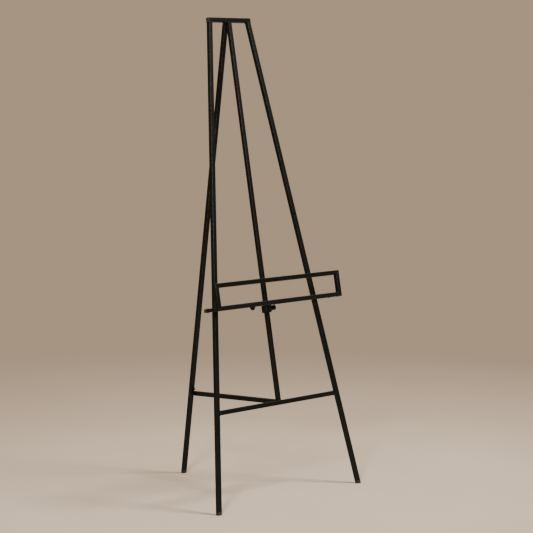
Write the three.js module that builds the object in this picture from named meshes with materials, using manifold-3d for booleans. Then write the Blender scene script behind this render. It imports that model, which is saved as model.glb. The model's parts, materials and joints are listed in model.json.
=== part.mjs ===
// Floor-standing display easel: a welded square-tube A-frame with a folding rear leg, a stay that
// holds the leg open, and a picture ledge that slides on the centre post and is clamped to it.
// Millimetres, +Z up, +X to the right and -Y towards the viewer who stands in front of the easel.
// The origin is the middle of the footprint, on the floor.
//
// The front frame leans back, so most pieces are placed in its own plane:
//   u runs to the right, v runs up the slope from the floor, n points out of the front.

import * as THREE from 'three';
import { mergeVertices } from 'three/addons/utils/BufferGeometryUtils.js';
import Module from 'manifold-3d';

const wasm = await Module();
wasm.setup();

// ---- Driving dimensions ----

const HEIGHT = 1702;              // floor to the highest edge of the top bar
const LEAN = 0.1876;              // the front frame leans back by this angle (radians)
const FOOT_SPREAD = 698.7;        // between the front legs' centre lines on the floor
const TOP_SPREAD = 184.5;         // between the front legs' centre lines at the top bar
const REAR_FOOT_Y = 575.2;        // the rear leg's centre line meets the floor this far back

const TUBE = 16;                  // frame tube, outside
const TUBE_WALL = 1.2;
const TUBE_CORNER = 2;            // outside corner radius
const POST = 15;                  // centre post, outside
const SLIM_TUBE = 13;             // ledge arms and back bar, outside
const PLUG_FACE = 1.6;            // part of an end plug that stands outside its tube
const WELD_GAP = 0.3;             // clearance between pieces that meet face to face

const TOP_BAR_LENGTH = 204;       // over its end plugs
const CROSSBAR_V = 343.4;         // crossbar centre line
const FOOT_CAP_HEIGHT = 12;
const FOOT_CAP_STUB = 22;         // part of a foot cap inside its tube

const HINGE_V = 1716;             // rear leg's hinge pin
const HINGE_N = -18;

const STAY_U = 17;                // the stay lies beside the rear leg
const STAY_HINGE_V = 345.4;       // stay's hinge pin
const STAY_HINGE_N = -22.5;
const STAY_PIN_HEIGHT = 309.2;    // the pin on the rear leg that the stay drops on to
const STAY_TAIL = 13;             // the stay runs this far past the pin

const LEDGE_V = 692.5;            // underside of the ledge's bars
const LEDGE_WIDTH = 613;
const LIP_HEIGHT = 95.2;
const LIP_BACK_N = 70;            // back face of the lip's bars
const BACK_BAR_N = 11;            // back face of the back bar, just in front of the legs

const COLLAR = 25;                // sliding collar on the post, outside
const COLLAR_WALL = 1.5;
const COLLAR_LENGTH = 25.4;
const COLLAR_CORNER = 2.5;
const PLATE_HALF_WIDTH = 10;      // plate between the collar and the back bar
const PLATE_THICKNESS = 4;
const CLAMP_V = 681.5;            // axis of the clamp screw

const HUB_RADIUS = 9;
const HUB_END = 39;               // the hub's full-width part ends this far from the post's centre line
const LEVER_TOP = 26;             // above and below the clamp screw's axis
const LEVER_BOTTOM = -9.5;
const LEVER_RADIUS = 2.4;

const LUG_U = -139.5;             // small lug under the lip
const LUG_DROP = 11;
const LUG_TOP_HALF = 12.5;
const LUG_LOW_HALF = 8;
const LUG_THICKNESS = 3;

const PEG_ABOVE_PIN = 28;         // bent peg on the rear leg's front face
const PEG_RADIUS = 2.6;
const PEG_REACH = 12;
const PEG_DROP = 7;

const PIN_RADIUS = 3;             // stay pin and clamp screw
const PIN_HEAD_RADIUS = 5;
const PIN_HEAD_HEIGHT = 2;
const RETAINER_RADIUS = 5.5;
const RETAINER_HEIGHT = 2.2;
const BOLT_RADIUS = 2.5;
const BOLT_HEAD_RADIUS = 4.5;
const BOLT_HEAD_HEIGHT = 3;
const NUT_FLATS = 8;
const NUT_HEIGHT = 4;
const CLAMP_NUT_FLATS = 10;
const CLAMP_NUT_HEIGHT = 5;
const TAB_THICKNESS = 4;
const TAB_RADIUS = 5.5;
const SPACER_RADIUS = 4.4;
const SLACK = 0.3;                // clearance round every pin, bolt and sliding fit
const PAST = TUBE / 2 + 1;        // reach of a cutter that goes right through a tube
const STUB_CORNER = 0.6;          // corner radius of the parts that go inside a tube
const BORE_CORNER = 0.4;          // least corner radius inside a tube
const ARC_STEPS = 24;             // sides of a full circle
const CORNER_STEPS = 2;           // sides of a tube's rounded corner
const OUTLINE_STEPS = 8;          // sides of an arc in a flat outline

// ---- Derived places ----

const sinLean = Math.sin(LEAN);
const cosLean = Math.cos(LEAN);
const topV = (HEIGHT - (TUBE / 2) * sinLean) / cosLean;
const topBarV = topV - TUBE / 2;
const underTopBar = topV - TUBE - WELD_GAP;
const hingeY = HINGE_V * sinLean - HINGE_N * cosLean;
const hingeZ = HINGE_V * cosLean + HINGE_N * sinLean;
const rearSlope = (REAR_FOOT_Y - hingeY) / hingeZ;
const stayHingeY = STAY_HINGE_V * sinLean - STAY_HINGE_N * cosLean;
const stayHingeZ = STAY_HINGE_V * cosLean + STAY_HINGE_N * sinLean;
const stayPinY = REAR_FOOT_Y - rearSlope * STAY_PIN_HEIGHT;
const stayReach = Math.hypot(stayPinY - stayHingeY, stayHingeZ - STAY_PIN_HEIGHT);
const frontReach = TUBE / 2 / cosLean;
const rearReach = REAR_FOOT_Y + (TUBE / 2) * Math.hypot(1, rearSlope);
const middleY = (rearReach - frontReach) / 2;

// ---- Materials ----

const finish = (color, roughness, metalness) =>
  new THREE.MeshStandardMaterial({ color, roughness, metalness });
const powderCoat = () => finish(0x1d1c1b, 0.48, 0.35);
const darkSteel = () => finish(0x2a2a2b, 0.35, 0.85);
const capPlastic = () => finish(0x161616, 0.6, 0);
const footRubber = () => finish(0x131313, 0.8, 0);
const nylon = () => finish(0x202020, 0.55, 0);

// ---- Geometry helpers ----

const vec = (x, y, z) => new THREE.Vector3(x, y, z);
const RIGHT = vec(1, 0, 0);
const UP = vec(0, 0, 1);
const FRONT = vec(0, -1, 0);
const UP_SLOPE = vec(0, 1, 0);    // up the front frame's own plane

// Closed geometry to solid, and back.
function toSolid(geometry) {
  const bare = geometry.clone();
  bare.deleteAttribute('normal');
  bare.deleteAttribute('uv');
  const merged = mergeVertices(bare, 1e-4);
  const vertProperties = new Float32Array(merged.attributes.position.array);
  const triVerts = new Uint32Array(merged.index.array);
  return new wasm.Manifold(new wasm.Mesh({ numProp: 3, vertProperties, triVerts }));
}

function toGeometry(solid) {
  const { vertProperties, triVerts } = solid.getMesh();
  const geometry = new THREE.BufferGeometry();
  geometry.setAttribute('position', new THREE.BufferAttribute(vertProperties, 3));
  geometry.setIndex(new THREE.BufferAttribute(triVerts, 1));
  geometry.computeVertexNormals();
  return geometry;
}

const cut = (geometry, ...tools) =>
  toGeometry(tools.reduce((solid, tool) => solid.subtract(toSolid(tool)), toSolid(geometry)));
const join = (geometry, ...others) =>
  toGeometry(others.reduce((solid, other) => solid.add(toSolid(other)), toSolid(geometry)));
const keepInside = (geometry, region) =>
  toGeometry(toSolid(geometry).intersect(toSolid(region)));

// A square with round corners, traced into a shape or a hole.
function traceSquare(path, side, radius) {
  const inner = side / 2 - radius;
  path.moveTo(-inner, -side / 2);
  path.lineTo(inner, -side / 2);
  path.absarc(inner, -inner, radius, -Math.PI / 2, 0, false);
  path.lineTo(side / 2, inner);
  path.absarc(inner, inner, radius, 0, Math.PI / 2, false);
  path.lineTo(-inner, side / 2);
  path.absarc(-inner, inner, radius, Math.PI / 2, Math.PI, false);
  path.lineTo(-side / 2, -inner);
  path.absarc(-inner, -inner, radius, Math.PI, Math.PI * 1.5, false);
  return path;
}

// A bar along +Y from y = 0, hollow when a wall is given.
function squareBar(side, length, radius, wall = 0) {
  const shape = traceSquare(new THREE.Shape(), side, radius);
  if (wall > 0) {
    const innerRadius = Math.max(radius - wall, BORE_CORNER);
    shape.holes.push(traceSquare(new THREE.Path(), side - 2 * wall, innerRadius));
  }
  const options = { depth: length, bevelEnabled: false, curveSegments: CORNER_STEPS };
  return new THREE.ExtrudeGeometry(shape, options).rotateX(-Math.PI / 2);
}

function block(x0, x1, y0, y1, z0, z1) {
  const box = new THREE.BoxGeometry(x1 - x0, y1 - y0, z1 - z0);
  return box.translate((x0 + x1) / 2, (y0 + y1) / 2, (z0 + z1) / 2);
}

// A round bar along X, centred on the axis through (y, z).
function roundX(radius, x0, x1, y = 0, z = 0, steps = ARC_STEPS) {
  const rod = new THREE.CylinderGeometry(radius, radius, x1 - x0, steps);
  return rod.rotateZ(-Math.PI / 2).translate((x0 + x1) / 2, y, z);
}

// A turned piece along X. The profile is a list of [radius, x] from one end of the axis to the other.
function turnedX(profile, steps = ARC_STEPS) {
  const points = profile.map(([radius, x]) => new THREE.Vector2(radius, x));
  return new THREE.LatheGeometry(points, steps).rotateZ(-Math.PI / 2);
}

const washerX = (outer, inner, x0, x1) =>
  turnedX([[inner, x0], [outer, x0], [outer, x1], [inner, x1], [inner, x0]]);

const hexNutX = (acrossFlats, x0, x1, bore) =>
  cut(roundX(acrossFlats / Math.sqrt(3), x0, x1, 0, 0, 6), roundX(bore, x0 - 1, x1 + 1));

// Turns a mesh so that its +Y follows direction and its +Z faces as near to facing as it can.
function aim(mesh, direction, facing) {
  const y = direction.clone().normalize();
  const z = facing.clone().addScaledVector(y, -facing.dot(y)).normalize();
  const x = new THREE.Vector3().crossVectors(y, z);
  mesh.quaternion.setFromRotationMatrix(new THREE.Matrix4().makeBasis(x, y, z));
}

function piece(name, geometry, material, parent, position = vec(0, 0, 0)) {
  const mesh = new THREE.Mesh(geometry, material);
  mesh.name = name;
  mesh.position.copy(position);
  parent.add(mesh);
  return mesh;
}

// Slides the vertices at one end of a bar along its length on to a plane of the parent's frame.
function trimEnd(mesh, endY, point, normal) {
  mesh.updateMatrix();
  const inverse = mesh.matrix.clone().invert();
  const origin = point.clone().applyMatrix4(inverse);
  const across = normal.clone().transformDirection(inverse);
  const position = mesh.geometry.attributes.position;
  for (let i = 0; i < position.count; i += 1) {
    if (Math.abs(position.getY(i) - endY) < 0.01) {
      const sideways = across.x * (position.getX(i) - origin.x) + across.z * (position.getZ(i) - origin.z);
      position.setY(i, origin.y - sideways / across.y);
    }
  }
  mesh.geometry.computeVertexNormals();
}

// A tube between two points of the parent's frame, with square ends.
function tube(name, from, to, facing, parent, side = TUBE) {
  const length = from.distanceTo(to);
  const mesh = piece(name, squareBar(side, length, TUBE_CORNER, TUBE_WALL), powderCoat(), parent, from);
  aim(mesh, to.clone().sub(from), facing);
  mesh.userData.length = length;
  return mesh;
}

const along = (from, to, distance) =>
  from.clone().addScaledVector(to.clone().sub(from).normalize(), distance);

// A plug for the end of a square tube: a face outside and a stub inside, along +Y.
function endPlug(side, stubLength) {
  const face = squareBar(side, PLUG_FACE, TUBE_CORNER);
  const stub = squareBar(side - 2 * TUBE_WALL - 2 * SLACK, stubLength + 1, STUB_CORNER);
  return join(face, stub.translate(0, -stubLength, 0));
}

// A level bar across the front frame, with a plug in each end.
function plugEndedBar(name, length, v, n, side) {
  const faceStart = length / 2 - PLUG_FACE;
  const barEnd = faceStart - WELD_GAP;
  tube(name, vec(-barEnd, v, n), vec(barEnd, v, n), UP, slope, side);
  for (const [label, end] of [['left', -1], ['right', 1]]) {
    const position = vec(end * faceStart, v, n);
    const plug = piece(`${name}_${label}_plug`, endPlug(side, 8), capPlastic(), slope, position);
    aim(plug, vec(end, 0, 0), UP);
  }
}

// A moulded cap on a leg's foot: a stub inside the tube and a block that stands flat on the floor.
function footCap(name, from, to, facing, parent, capNormal) {
  const blank = 11;
  const overlap = 4;
  const cap = piece(name, squareBar(TUBE, blank, TUBE_CORNER), footRubber(), parent, from);
  aim(cap, to.clone().sub(from), facing);
  trimEnd(cap, 0, vec(0, 0, 0), capNormal);
  trimEnd(cap, blank, capNormal.clone().multiplyScalar(FOOT_CAP_HEIGHT), capNormal);
  const stub = squareBar(TUBE - 2 * TUBE_WALL - 2 * SLACK, overlap + FOOT_CAP_STUB, STUB_CORNER);
  cap.geometry = join(cap.geometry, stub.translate(0, FOOT_CAP_HEIGHT - overlap, 0));
}

// ---- Assembly ----

const easel = new THREE.Group();
easel.name = 'display_easel';
const model = new THREE.Group();
model.position.y = -middleY;
easel.add(model);

// The sloping plane of the front frame: x is u, y is v and z is n.
const slope = new THREE.Group();
slope.rotation.x = Math.PI / 2 - LEAN;
model.add(slope);
const floorNormal = vec(0, cosLean, sinLean);

addFrontFrame();
addRearLeg();
addStay();
addLedge();
addClamp();

// ---- Front frame ----

function addFrontFrame() {
  addFrontLeg('left', -1);
  addFrontLeg('right', 1);
  plugEndedBar('top_bar', TOP_BAR_LENGTH, topBarV, 0, TUBE);
  const postFoot = vec(0, CROSSBAR_V + TUBE / 2 + WELD_GAP, 0);
  tube('centre_post', postFoot, vec(0, underTopBar, 0), UP, slope, POST);
  addCrossbar();
  addHingeTab('rear_leg_hinge_tab', 0, HINGE_V, HINGE_N, topBarV);
  addHingeTab('stay_hinge_tab', STAY_U, STAY_HINGE_V, STAY_HINGE_N, CROSSBAR_V);
}

// A front leg's centre line, from the floor to the height of the top bar's centre line.
function legEnds(side) {
  return [vec((side * FOOT_SPREAD) / 2, 0, 0), vec((side * TOP_SPREAD) / 2, topBarV, 0)];
}

function addFrontLeg(label, side) {
  const [foot, head] = legEnds(side);
  const leg = tube(`${label}_leg`, foot, head, UP, slope);
  trimEnd(leg, leg.userData.length, vec(0, underTopBar, 0), UP_SLOPE);
  const tubeFoot = floorNormal.clone().multiplyScalar(FOOT_CAP_HEIGHT + WELD_GAP);
  trimEnd(leg, 0, tubeFoot, floorNormal);
  footCap(`${label}_foot_cap`, foot, head, UP, slope, floorNormal);
}

// The crossbar's ends are cut to the slope of the legs that it is welded between.
function addCrossbar() {
  const reach = FOOT_SPREAD / 2;
  const bar = tube('crossbar', vec(-reach, CROSSBAR_V, 0), vec(reach, CROSSBAR_V, 0), UP, slope);
  for (const side of [-1, 1]) {
    const [foot, head] = legEnds(side);
    const rise = head.clone().sub(foot).normalize();
    const inward = vec(-side * rise.y, side * rise.x, 0);
    const face = foot.clone().addScaledVector(inward, TUBE / 2 + WELD_GAP);
    trimEnd(bar, side < 0 ? 0 : bar.userData.length, face, inward);
  }
}

// A steel tab welded to the back of a bar, which a tube's slotted end turns on.
function addHingeTab(name, u, v, n, rootV) {
  const root = -TUBE / 2 - WELD_GAP;
  const outline = new THREE.Shape();
  outline.moveTo(rootV - TAB_RADIUS, root);
  outline.lineTo(v - TAB_RADIUS, n);
  outline.absarc(v, n, TAB_RADIUS, -Math.PI, 0, false);
  outline.lineTo(rootV + TAB_RADIUS, root);
  const options = { depth: TAB_THICKNESS, bevelEnabled: false, curveSegments: OUTLINE_STEPS };
  const plate = new THREE.ExtrudeGeometry(outline, options);
  // The outline is drawn in (v, n) and given its thickness along u.
  plate.applyMatrix4(new THREE.Matrix4().makeBasis(UP_SLOPE, UP, RIGHT));
  plate.translate(u - TAB_THICKNESS / 2, 0, 0);
  const hole = roundX(BOLT_RADIUS + SLACK, u - TAB_THICKNESS, u + TAB_THICKNESS, v, n);
  piece(name, cut(plate, hole), powderCoat(), slope);
}

// ---- Hinges ----

// Bolt, nut and two spacers that hold a slotted tube on its tab.
function addHingeHardware(prefix, parent, position) {
  const face = TUBE / 2 + SLACK;
  const crown = -face - BOLT_HEAD_HEIGHT;
  const tip = face + NUT_HEIGHT + 1.8;
  const bolt = turnedX([
    [0, crown], [2.2, crown + 0.1], [3.6, crown + 0.9], [BOLT_HEAD_RADIUS, -face], [BOLT_RADIUS, -face],
    [BOLT_RADIUS, tip - 0.6], [BOLT_RADIUS - 0.5, tip], [0, tip]]);
  piece(`${prefix}_bolt`, bolt, darkSteel(), parent, position);
  const nut = hexNutX(NUT_FLATS, face, face + NUT_HEIGHT, BOLT_RADIUS + SLACK);
  piece(`${prefix}_nut`, nut, darkSteel(), parent, position);
  const inside = TUBE / 2 - TUBE_WALL - SLACK;
  const tabSide = TAB_THICKNESS / 2 + SLACK;
  const bore = BOLT_RADIUS + SLACK;
  const leftSpacer = washerX(SPACER_RADIUS, bore, -inside, -tabSide);
  piece(`${prefix}_left_spacer`, leftSpacer, nylon(), parent, position);
  const rightSpacer = washerX(SPACER_RADIUS, bore, tabSide, inside);
  piece(`${prefix}_right_spacer`, rightSpacer, nylon(), parent, position);
}

// Rounds the end of a tube about its bolt and opens one wall for the tab. The bolt is at boltY, the
// tube lies on the side of it that keep says (1 above, -1 below), and the slot is in the +Z wall.
function hingeEnd(geometry, boltY, farY, keep) {
  const body = block(-PAST, PAST, Math.min(boltY, farY), Math.max(boltY, farY), -PAST, PAST);
  const rounded = keepInside(geometry, join(body, roundX(TUBE / 2 + 0.1, -PAST, PAST, boltY, 0)));
  const slotEnd = boltY + keep * (TAB_RADIUS + 1);
  const openEnd = boltY - keep * PAST;
  const half = TAB_THICKNESS / 2 + 0.75;
  const slot = block(-half, half, Math.min(slotEnd, openEnd), Math.max(slotEnd, openEnd), 0, PAST);
  return cut(rounded, slot, roundX(BOLT_RADIUS + SLACK, -PAST, PAST, boltY, 0));
}

// ---- Rear leg ----

function addRearLeg() {
  const foot = vec(0, REAR_FOOT_Y, 0);
  const hinge = vec(0, hingeY, hingeZ);
  const reach = foot.distanceTo(hinge);
  const leg = tube('rear_leg', foot, along(foot, hinge, reach + TUBE / 2 + 2), FRONT, model);
  trimEnd(leg, 0, vec(0, 0, FOOT_CAP_HEIGHT + WELD_GAP), UP);
  leg.geometry = hingeEnd(leg.geometry, reach, -30, -1);
  const pinReach = STAY_PIN_HEIGHT * Math.hypot(1, rearSlope);
  leg.geometry = cut(leg.geometry, roundX(PIN_RADIUS + SLACK, -PAST, PAST, pinReach, 0));
  footCap('rear_foot_cap', foot, hinge, FRONT, model, UP);
  addHingeHardware('rear_leg_hinge', model, hinge);
  addStayPin(along(foot, hinge, pinReach));
  addLegPeg(along(foot, hinge, pinReach + PEG_ABOVE_PIN), hinge.clone().sub(foot).normalize());
}

// The pin goes through the rear leg and stands out on the right, where the stay drops on to it.
function addStayPin(position) {
  const face = TUBE / 2 + SLACK;
  const tip = STAY_U + TUBE / 2 + 3.6;
  const crown = -face - PIN_HEAD_HEIGHT;
  const pin = turnedX([
    [0, crown], [PIN_HEAD_RADIUS - 0.8, crown], [PIN_HEAD_RADIUS, crown + 0.8], [PIN_HEAD_RADIUS, -face],
    [PIN_RADIUS, -face], [PIN_RADIUS, tip - 0.6], [PIN_RADIUS - 0.6, tip], [0, tip]]);
  piece('stay_pin', pin, darkSteel(), model, position);
  const capEnd = tip - 0.8;
  const cap = washerX(RETAINER_RADIUS, PIN_RADIUS + SLACK, capEnd - RETAINER_HEIGHT, capEnd);
  piece('stay_pin_retainer', cap, darkSteel(), model, position);
}

// A short bent peg on the front face of the rear leg, just above the stay.
function addLegPeg(position, rise) {
  const ahead = new THREE.Vector3().crossVectors(RIGHT, rise).normalize();
  const at = (forward, up) =>
    position.clone().addScaledVector(ahead, forward).addScaledVector(rise, up);
  const root = TUBE / 2 + WELD_GAP;
  const bend = root + PEG_REACH / 2;
  const tip = at(root + PEG_REACH, -PEG_DROP);
  const route = new THREE.QuadraticBezierCurve3(at(root, 0), at(bend, 0), tip);
  const section = new THREE.Shape().absarc(0, 0, PEG_RADIUS, 0, Math.PI * 2, false);
  const options = { steps: 8, extrudePath: route, curveSegments: 5 };
  piece('leg_peg', new THREE.ExtrudeGeometry(section, options), powderCoat(), model);
}

// ---- Stay ----

function addStay() {
  const hinge = vec(STAY_U, stayHingeY, stayHingeZ);
  const pin = vec(STAY_U, stayPinY, STAY_PIN_HEIGHT);
  const start = along(hinge, pin, -TUBE);
  const end = along(hinge, pin, stayReach + STAY_TAIL);
  const stay = tube('stay', start, end, UP, model);
  stay.geometry = hingeEnd(stay.geometry, TUBE, stay.userData.length + 9, 1);
  stay.geometry = cut(stay.geometry, pinSlot(TUBE + stayReach));
  addHingeHardware('stay_hinge', model, hinge);
  const plugStart = along(pin, end, STAY_TAIL + WELD_GAP);
  const plug = piece('stay_end_plug', endPlug(TUBE, 6), capPlastic(), model, plugStart);
  aim(plug, end.clone().sub(start), UP);
}

// An open slot that drops over the pin. It leans forward, the way the pin leaves as the leg folds.
function pinSlot(pinY) {
  const radius = PIN_RADIUS + 0.6;
  const depth = TUBE / 2 + 2;
  const lean = depth * 0.6;
  const frontFlare = 1.6;
  const rearFlare = 0.6;
  const outline = new THREE.Shape();
  outline.moveTo(radius, 0);
  outline.absarc(0, 0, radius, 0, Math.PI, false);
  outline.lineTo(-lean - radius - frontFlare, -depth);
  outline.lineTo(-lean + radius + rearFlare, -depth);
  const options = { depth: 2 * PAST, bevelEnabled: false, curveSegments: OUTLINE_STEPS };
  const tool = new THREE.ExtrudeGeometry(outline, options);
  tool.applyMatrix4(new THREE.Matrix4().makeBasis(UP_SLOPE, UP, RIGHT));
  return tool.translate(-PAST, pinY, 0);
}

// ---- Ledge ----

function addLedge() {
  const half = LEDGE_WIDTH / 2;
  const lipN = LIP_BACK_N + TUBE / 2;
  const lowV = LEDGE_V + TUBE / 2;
  const highV = LEDGE_V + LIP_HEIGHT - TUBE / 2;
  const endU = half - TUBE / 2;
  // The lip is a rectangle of four bars, mitred at the corners.
  const corners = [
    vec(-endU, lowV, lipN), vec(endU, lowV, lipN), vec(endU, highV, lipN), vec(-endU, highV, lipN)];
  const names = ['lip_bottom_bar', 'lip_right_bar', 'lip_top_bar', 'lip_left_bar'];
  names.forEach((name, i) => {
    const from = corners[i];
    const to = corners[(i + 1) % 4];
    const before = corners[(i + 3) % 4];
    const after = corners[(i + 2) % 4];
    const bar = tube(name, from, to, UP, slope);
    const direction = to.clone().sub(from).normalize();
    const startNormal = direction.clone().add(from.clone().sub(before).normalize()).normalize();
    const endNormal = direction.clone().add(after.clone().sub(to).normalize()).normalize();
    trimEnd(bar, 0, from.clone().addScaledVector(startNormal, WELD_GAP / 2), startNormal);
    trimEnd(bar, bar.userData.length, to.clone().addScaledVector(endNormal, -WELD_GAP / 2), endNormal);
  });

  const slimV = LEDGE_V + SLIM_TUBE / 2;
  const backN = BACK_BAR_N + SLIM_TUBE / 2;
  const armStart = BACK_BAR_N + SLIM_TUBE + WELD_GAP;
  const armEnd = LIP_BACK_N - WELD_GAP;
  const armU = half - SLIM_TUBE / 2;
  const arms = [['left_arm', -armU], ['centre_arm', 0], ['right_arm', armU]];
  for (const [name, u] of arms) {
    tube(name, vec(u, slimV, armStart), vec(u, slimV, armEnd), vec(0, 1, 0), slope, SLIM_TUBE);
  }

  plugEndedBar('back_bar', LEDGE_WIDTH, slimV, backN, SLIM_TUBE);
  addCollar();
  addLipLug(lipN);
}

function addCollar() {
  const top = LEDGE_V - WELD_GAP;
  const bottom = top - COLLAR_LENGTH;
  const screwY = CLAMP_V - bottom;
  const hole = roundX(PIN_RADIUS + 0.5, 0, COLLAR, screwY, 0);
  const shell = squareBar(COLLAR, COLLAR_LENGTH, COLLAR_CORNER, COLLAR_WALL);
  piece('collar', cut(shell, hole), powderCoat(), slope, vec(0, bottom, 0));

  const linerOutside = COLLAR - 2 * COLLAR_WALL - 2 * SLACK;
  const linerWall = (linerOutside - POST - 2 * SLACK) / 2;
  const sleeve = squareBar(linerOutside, COLLAR_LENGTH - 1, linerWall + TUBE_CORNER, linerWall);
  const liner = cut(sleeve, hole.clone().translate(0, -0.5, 0));
  piece('collar_liner', liner, nylon(), slope, vec(0, bottom + 0.5, 0));

  // A flat plate on the front of the collar carries the back bar.
  const front = COLLAR / 2 + WELD_GAP;
  const back = front + PLATE_THICKNESS;
  const plate = block(-PLATE_HALF_WIDTH, PLATE_HALF_WIDTH, bottom + 2, top, front, back);
  piece('collar_plate', plate, powderCoat(), slope);
}

// A small flat lug with tapered sides, welded under the lip.
function addLipLug(lipN) {
  const round = 3;
  const shoulder = 1;
  const top = LEDGE_V - WELD_GAP;
  const low = top - LUG_DROP;
  const outline = new THREE.Shape();
  outline.moveTo(LUG_TOP_HALF, top);
  outline.lineTo(-LUG_TOP_HALF, top);
  outline.lineTo(-LUG_LOW_HALF, low + round);
  outline.quadraticCurveTo(-LUG_LOW_HALF + shoulder, low, -LUG_LOW_HALF + round, low);
  outline.lineTo(LUG_LOW_HALF - round, low);
  outline.quadraticCurveTo(LUG_LOW_HALF - shoulder, low, LUG_LOW_HALF, low + round);
  const options = { depth: LUG_THICKNESS, bevelEnabled: false, curveSegments: OUTLINE_STEPS };
  const plate = new THREE.ExtrudeGeometry(outline, options);
  piece('lip_lug', plate, powderCoat(), slope, vec(LUG_U, 0, lipN - LUG_THICKNESS / 2));
}

// ---- Clamp screw ----

function addClamp() {
  const axis = vec(0, CLAMP_V, 0);
  const wallFace = COLLAR / 2 + SLACK;
  const nutEnd = wallFace + CLAMP_NUT_HEIGHT;
  const nut = hexNutX(CLAMP_NUT_FLATS, wallFace, nutEnd, PIN_RADIUS + SLACK);
  piece('clamp_nut', nut, darkSteel(), slope, axis);

  const padStart = POST / 2 + SLACK;
  const padEnd = padStart + 2.6;
  const pad = turnedX([[0, padStart], [2.6, padStart], [3, padStart + 0.5], [3, padEnd], [0, padEnd]]);
  piece('clamp_pad', pad, nylon(), slope, axis);

  const hubStart = nutEnd + 1;
  const socketEnd = hubStart + 13;
  const stud = turnedX([
    [0, padEnd + SLACK], [2.4, padEnd + SLACK], [PIN_RADIUS, padEnd + 0.9],
    [PIN_RADIUS, socketEnd - SLACK], [0, socketEnd - SLACK]]);
  piece('clamp_stud', stud, darkSteel(), slope, axis);

  // The hub and its lever are one casting. The lever stands up when the clamp is tight.
  const bore = PIN_RADIUS + SLACK;
  const hub = turnedX([
    [bore, hubStart], [HUB_RADIUS - 0.6, hubStart], [HUB_RADIUS, hubStart + 0.6], [HUB_RADIUS, HUB_END],
    [HUB_RADIUS - 0.8, HUB_END + 2.4], [HUB_RADIUS - 2.6, HUB_END + 3.8], [0, HUB_END + 3.8],
    [0, socketEnd], [bore, socketEnd], [bore, hubStart]]);
  const span = LEVER_TOP - LEVER_BOTTOM - 2 * LEVER_RADIUS;
  const lever = new THREE.CapsuleGeometry(LEVER_RADIUS, span, 4, 12);
  lever.translate(HUB_END + 2, (LEVER_TOP + LEVER_BOTTOM) / 2, 0);
  piece('clamp_lever', join(hub, lever), powderCoat(), slope, axis);
}

export default easel;
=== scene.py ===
import json
import math
from collections import namedtuple

import bmesh
import bpy
import numpy as np
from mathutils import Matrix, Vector


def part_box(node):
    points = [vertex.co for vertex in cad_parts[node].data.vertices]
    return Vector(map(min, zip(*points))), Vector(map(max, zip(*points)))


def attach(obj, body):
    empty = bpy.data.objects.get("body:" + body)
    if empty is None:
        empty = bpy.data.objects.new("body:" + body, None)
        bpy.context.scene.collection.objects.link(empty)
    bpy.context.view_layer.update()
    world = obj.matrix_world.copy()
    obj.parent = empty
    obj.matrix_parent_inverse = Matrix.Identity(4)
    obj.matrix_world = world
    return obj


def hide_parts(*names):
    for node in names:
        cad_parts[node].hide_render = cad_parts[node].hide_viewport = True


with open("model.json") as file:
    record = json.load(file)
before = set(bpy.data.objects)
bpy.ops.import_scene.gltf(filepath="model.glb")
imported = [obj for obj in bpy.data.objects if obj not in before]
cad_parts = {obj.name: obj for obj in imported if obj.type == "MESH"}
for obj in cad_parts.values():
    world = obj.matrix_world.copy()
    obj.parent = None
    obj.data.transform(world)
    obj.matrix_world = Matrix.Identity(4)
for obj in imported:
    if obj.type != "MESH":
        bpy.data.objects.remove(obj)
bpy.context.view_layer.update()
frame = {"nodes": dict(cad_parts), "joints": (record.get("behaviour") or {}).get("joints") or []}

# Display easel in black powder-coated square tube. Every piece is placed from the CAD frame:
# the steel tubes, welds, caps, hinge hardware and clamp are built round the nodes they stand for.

MM = 0.001

JOINTS = {joint["name"]: joint for joint in frame["joints"]}

# Directions. RISE and OUT are the front frame's own: up its slope, and square out of its front face.
RIGHT = Vector((1, 0, 0))
UP = Vector((0, 0, 1))
FRONT = Vector((0, -1, 0))
RISE = Vector(JOINTS["ledge_slide"]["axis"]).normalized()
OUT = RIGHT.cross(RISE)

CORNER = 2.0 * MM          # outside corner radius of the tubes
CORNER_STEPS = 7
EDGE = 0.35 * MM           # rounding of cut edges
EDGE_STEPS = 3
SAME_POINT = 1e-6          # vertices closer than this become one
ALL_SMOOTH = 180           # an angle that no edge reaches, for pieces without a crisp edge


# ---- Small helpers ----

def node_points(node):
    """A CAD node's vertices at rest, in metres, as an array."""
    mesh = frame["nodes"][node].data
    points = np.zeros(len(mesh.vertices) * 3)
    mesh.vertices.foreach_get("co", points)
    return points.reshape(-1, 3)


def centre_of(node):
    low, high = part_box(node)
    return (low + high) / 2


def sideways_axis(node):
    """The point at x = 0 on the axis of a bolt, nut or pin that lies along X."""
    centre = centre_of(node)
    return Vector((0, centre.y, centre.z))


def side_direction(start, end):
    """The direction from one point to another as seen from the side, where the easel folds."""
    return Vector((0, end.y - start.y, end.z - start.z)).normalized()


def square_to(direction, facing):
    """The direction nearest to facing that is square to the given one."""
    return (facing - direction * facing.dot(direction)).normalized()


def on_frame(u, v, n):
    """The point u to the right, v up the slope and n out of the front frame."""
    return RIGHT * u + RISE * v + OUT * n


def local_points(points, origin, axes):
    """The points measured from an origin along three axes."""
    return (points - np.array(origin)) @ np.array(axes).T


def turn_angles(count):
    """Equal steps round a full turn."""
    return [2 * math.pi * k / count for k in range(count)]


def circle(centre, first, second, count):
    """Points round an ellipse whose half axes are the two vectors."""
    return [centre + first * math.cos(a) + second * math.sin(a) for a in turn_angles(count)]


def hexagon_reach(angle, flats):
    """Distance from the centre to the side of a hexagon that is this far across its flats."""
    off_middle = (angle % (math.pi / 3)) - math.pi / 6
    return flats / 2 / math.cos(off_middle)


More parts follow.
